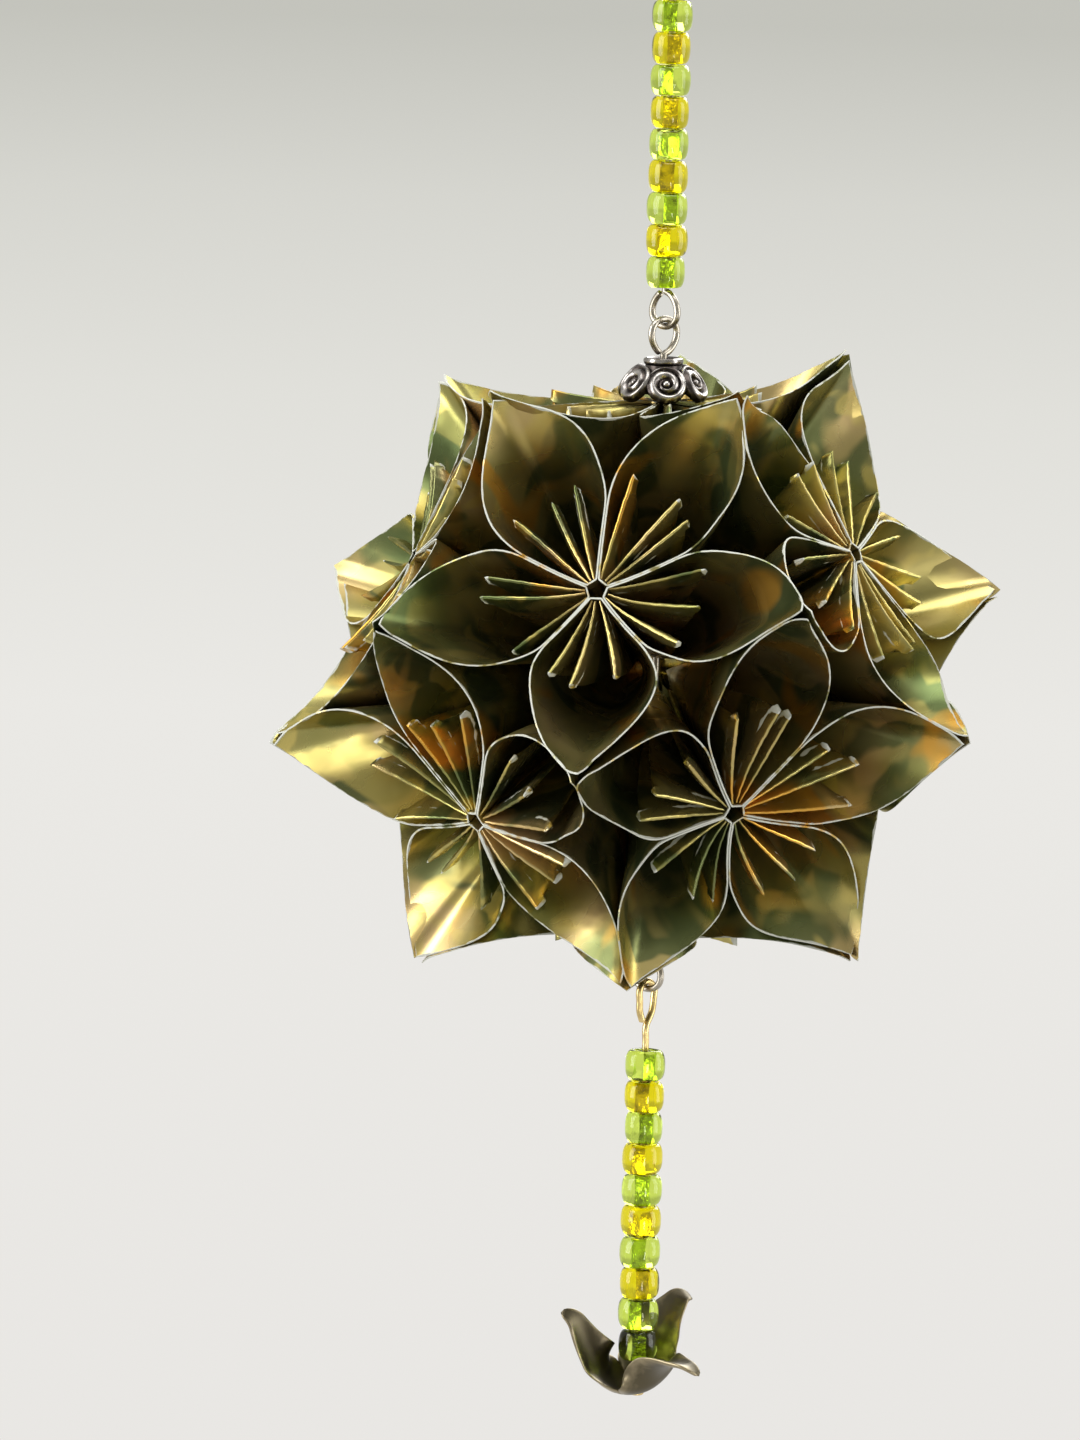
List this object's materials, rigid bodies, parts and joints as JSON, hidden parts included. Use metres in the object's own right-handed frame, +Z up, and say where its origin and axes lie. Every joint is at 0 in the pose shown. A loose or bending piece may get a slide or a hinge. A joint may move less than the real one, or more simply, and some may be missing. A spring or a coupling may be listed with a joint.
{
  "type": "kusudama paper ball",
  "caption": "Hanging ball of folded gold-foil paper flowers with stamens, on a beaded wire strand with a silver cap, and a beaded pendant with a brass lily cap below.",
  "frame": {"origin": "inside top of the hanging eye, where a hook carries the strand", "axes": "+Z up along the strand, the picture looks along +Y, +X to the viewer's right"},
  "size_m": [0.072, 0.0718, 0.1506],
  "materials": {
    "gold_paper": "metallic foil, glossy, mottled gold, olive and copper",
    "green_glass": "clear green glass with a silver-lined hole",
    "yellow_glass": "clear yellow glass with a silver-lined hole",
    "silver_wire": "bright nickel-silver wire",
    "brass_wire": "antique brass",
    "antique_silver": "antiqued cast silver",
    "antique_brass": "antiqued brass"
  },
  "bodies": {
    "hanger": {"hanger_wire": "silver_wire", "hanger_bead_01": "yellow_glass", "hanger_bead_02": "green_glass", "hanger_bead_03": "yellow_glass", "hanger_bead_04": "green_glass", "hanger_bead_05": "yellow_glass", "hanger_bead_06": "green_glass", "hanger_bead_07": "yellow_glass", "hanger_bead_08": "green_glass", "hanger_bead_09": "yellow_glass", "hanger_bead_10": "green_glass"},
    "ball": {"ball_wire": "silver_wire", "bead_cap": "antique_silver", "flower_top": "gold_paper", "flower_bottom": "gold_paper", "flower_upper_1": "gold_paper", "flower_upper_2": "gold_paper", "flower_upper_3": "gold_paper", "flower_upper_4": "gold_paper", "flower_upper_5": "gold_paper", "flower_lower_1": "gold_paper", "flower_lower_2": "gold_paper", "flower_lower_3": "gold_paper", "flower_lower_4": "gold_paper", "flower_lower_5": "gold_paper"},
    "pendant": {"pendant_pin": "brass_wire", "lily_cap": "antique_brass", "pendant_bead_01": "green_glass", "pendant_bead_02": "yellow_glass", "pendant_bead_03": "green_glass", "pendant_bead_04": "yellow_glass", "pendant_bead_05": "green_glass", "pendant_bead_06": "yellow_glass", "pendant_bead_07": "green_glass", "pendant_bead_08": "yellow_glass", "pendant_bead_09": "green_glass", "pendant_bead_10": "green_glass"}
  },
  "joints": [
    {"name": "ball_swing", "type": "hinge", "parent": "hanger", "child": "ball", "pos_m": [0, 0, -0.0396], "axis": [0.7071, -0.7071, 0], "range_deg": [-60, 60]},
    {"name": "pendant_swing", "type": "hinge", "parent": "ball", "child": "pendant", "pos_m": [0, 0, -0.1072], "axis": [0.766, -0.6428, 0], "range_deg": [-60, 60]}
  ]
}
